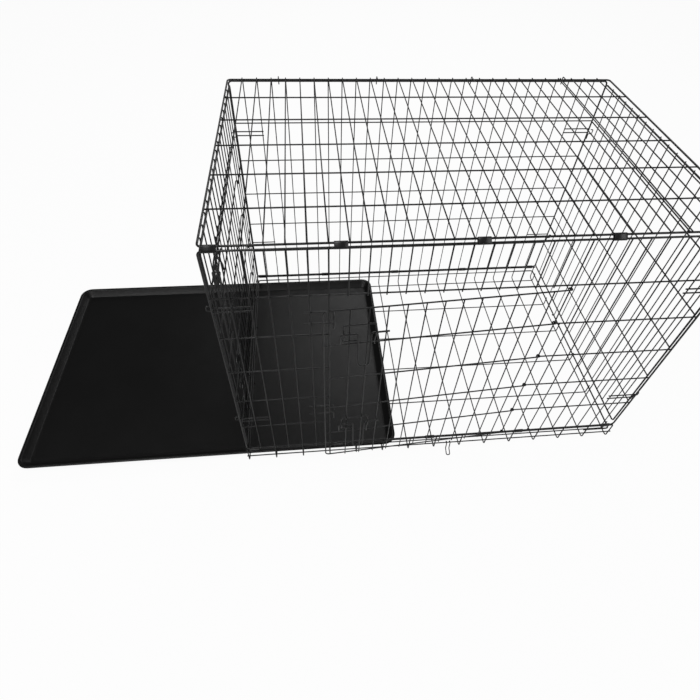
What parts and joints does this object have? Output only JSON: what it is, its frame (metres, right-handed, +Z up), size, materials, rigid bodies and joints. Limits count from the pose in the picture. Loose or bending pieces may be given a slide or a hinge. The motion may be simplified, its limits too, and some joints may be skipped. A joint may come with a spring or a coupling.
{
  "type": "dog cage",
  "caption": "Folding black wire dog cage with a front door, an end door, slide bolts and a pull-out plastic tray, drawn out at the left end.",
  "frame": {"origin": "middle of the cage's footprint on the ground", "axes": "+X to the right seen from the front door, +Y from the front to the back, +Z up"},
  "size_m": [1.7046, 0.7739, 0.7727],
  "materials": {
    "coated_wire": "satin black coating on steel wire",
    "tray_plastic": "grained black plastic"
  },
  "bodies": {
    "base": {"back_hook_catches": "coated_wire", "back_panel_cross_wires": "coated_wire", "back_panel_frame": "coated_wire", "back_panel_uprights": "coated_wire", "back_sill_clips": "coated_wire", "base_back_lower_rail": "coated_wire", "base_back_upper_rail": "coated_wire", "base_cross_wires": "coated_wire", "base_front_lower_rail": "coated_wire", "base_front_upper_rail": "coated_wire", "base_left_end_rail": "coated_wire", "base_long_wires": "coated_wire", "base_right_end_rail": "coated_wire", "front_hook_catches": "coated_wire", "front_lower_strike": "coated_wire", "front_panel_cross_wires": "coated_wire", "front_panel_frame": "coated_wire", "front_panel_uprights": "coated_wire", "front_sill_clips": "coated_wire", "front_upper_strike": "coated_wire"},
    "top_panel": {"top_panel_cross_wires": "coated_wire", "top_panel_frame": "coated_wire", "top_panel_hooks": "coated_wire", "top_panel_long_wires": "coated_wire", "top_rail_clips": "coated_wire"},
    "left_panel": {"end_lower_strike": "coated_wire", "end_upper_strike": "coated_wire", "left_panel_cross_wires": "coated_wire", "left_panel_frame": "coated_wire", "left_panel_hinge_wires": "coated_wire", "left_panel_hooks": "coated_wire", "left_panel_uprights": "coated_wire"},
    "right_panel": {"right_panel_cross_wires": "coated_wire", "right_panel_frame": "coated_wire", "right_panel_hinge_wires": "coated_wire", "right_panel_hooks": "coated_wire", "right_panel_uprights": "coated_wire"},
    "front_door": {"front_door_cross_wires": "coated_wire", "front_door_frame": "coated_wire", "front_door_uprights": "coated_wire", "front_lower_bracket": "coated_wire", "front_upper_bracket": "coated_wire"},
    "end_door": {"end_door_cross_wires": "coated_wire", "end_door_frame": "coated_wire", "end_door_uprights": "coated_wire", "end_lower_bracket": "coated_wire", "end_upper_bracket": "coated_wire"},
    "front_upper_bolt": {"front_upper_bolt": "coated_wire"},
    "front_lower_bolt": {"front_lower_bolt": "coated_wire"},
    "end_upper_bolt": {"end_upper_bolt": "coated_wire"},
    "end_lower_bolt": {"end_lower_bolt": "coated_wire"},
    "tray": {"tray": "tray_plastic"},
    "fold_lock_hook": {"fold_lock_hook": "coated_wire"}
  },
  "joints": [
    {"name": "tray_slide", "type": "slide", "parent": "base", "child": "tray", "axis": [1, 0, 0], "range_m": [-0.4, 0.637]},
    {"name": "front_door_hinge", "type": "hinge", "parent": "base", "child": "front_door", "pos_m": [0.1905, -0.3556, 0], "axis": [0, 0, 1], "range_deg": [-3.5, 156.5]},
    {"name": "front_upper_bolt_slide", "type": "slide", "parent": "front_door", "child": "front_upper_bolt", "axis": [-0.9981, -0.061, 0], "range_m": [0, 0.024]},
    {"name": "front_lower_bolt_slide", "type": "slide", "parent": "front_door", "child": "front_lower_bolt", "axis": [-0.9981, -0.061, 0], "range_m": [0, 0.024]},
    {"name": "left_panel_fold", "type": "hinge", "parent": "base", "child": "left_panel", "pos_m": [-0.5298, 0, 0.038], "axis": [0, 1, 0], "range_deg": [0, 90]},
    {"name": "right_panel_fold", "type": "hinge", "parent": "base", "child": "right_panel", "pos_m": [0.5298, 0, 0.038], "axis": [0, -1, 0], "range_deg": [0, 84]},
    {"name": "end_door_hinge", "type": "hinge", "parent": "left_panel", "child": "end_door", "pos_m": [-0.5338, 0.23133, 0], "axis": [0, 0, 1], "range_deg": [-95, 0]},
    {"name": "end_upper_bolt_slide", "type": "slide", "parent": "end_door", "child": "end_upper_bolt", "axis": [0, -1, 0], "range_m": [0, 0.024]},
    {"name": "end_lower_bolt_slide", "type": "slide", "parent": "end_door", "child": "end_lower_bolt", "axis": [0, -1, 0], "range_m": [0, 0.024]},
    {"name": "top_panel_lift", "type": "hinge", "parent": "base", "child": "top_panel", "pos_m": [0, -0.3523, 0.762], "axis": [1, 0, 0], "range_deg": [0, 130]},
    {"name": "fold_lock_hook_swing", "type": "hinge", "parent": "base", "child": "fold_lock_hook", "pos_m": [0.0381, -0.3587, 0.031], "axis": [-1, 0, 0], "range_deg": [0, 90]}
  ]
}
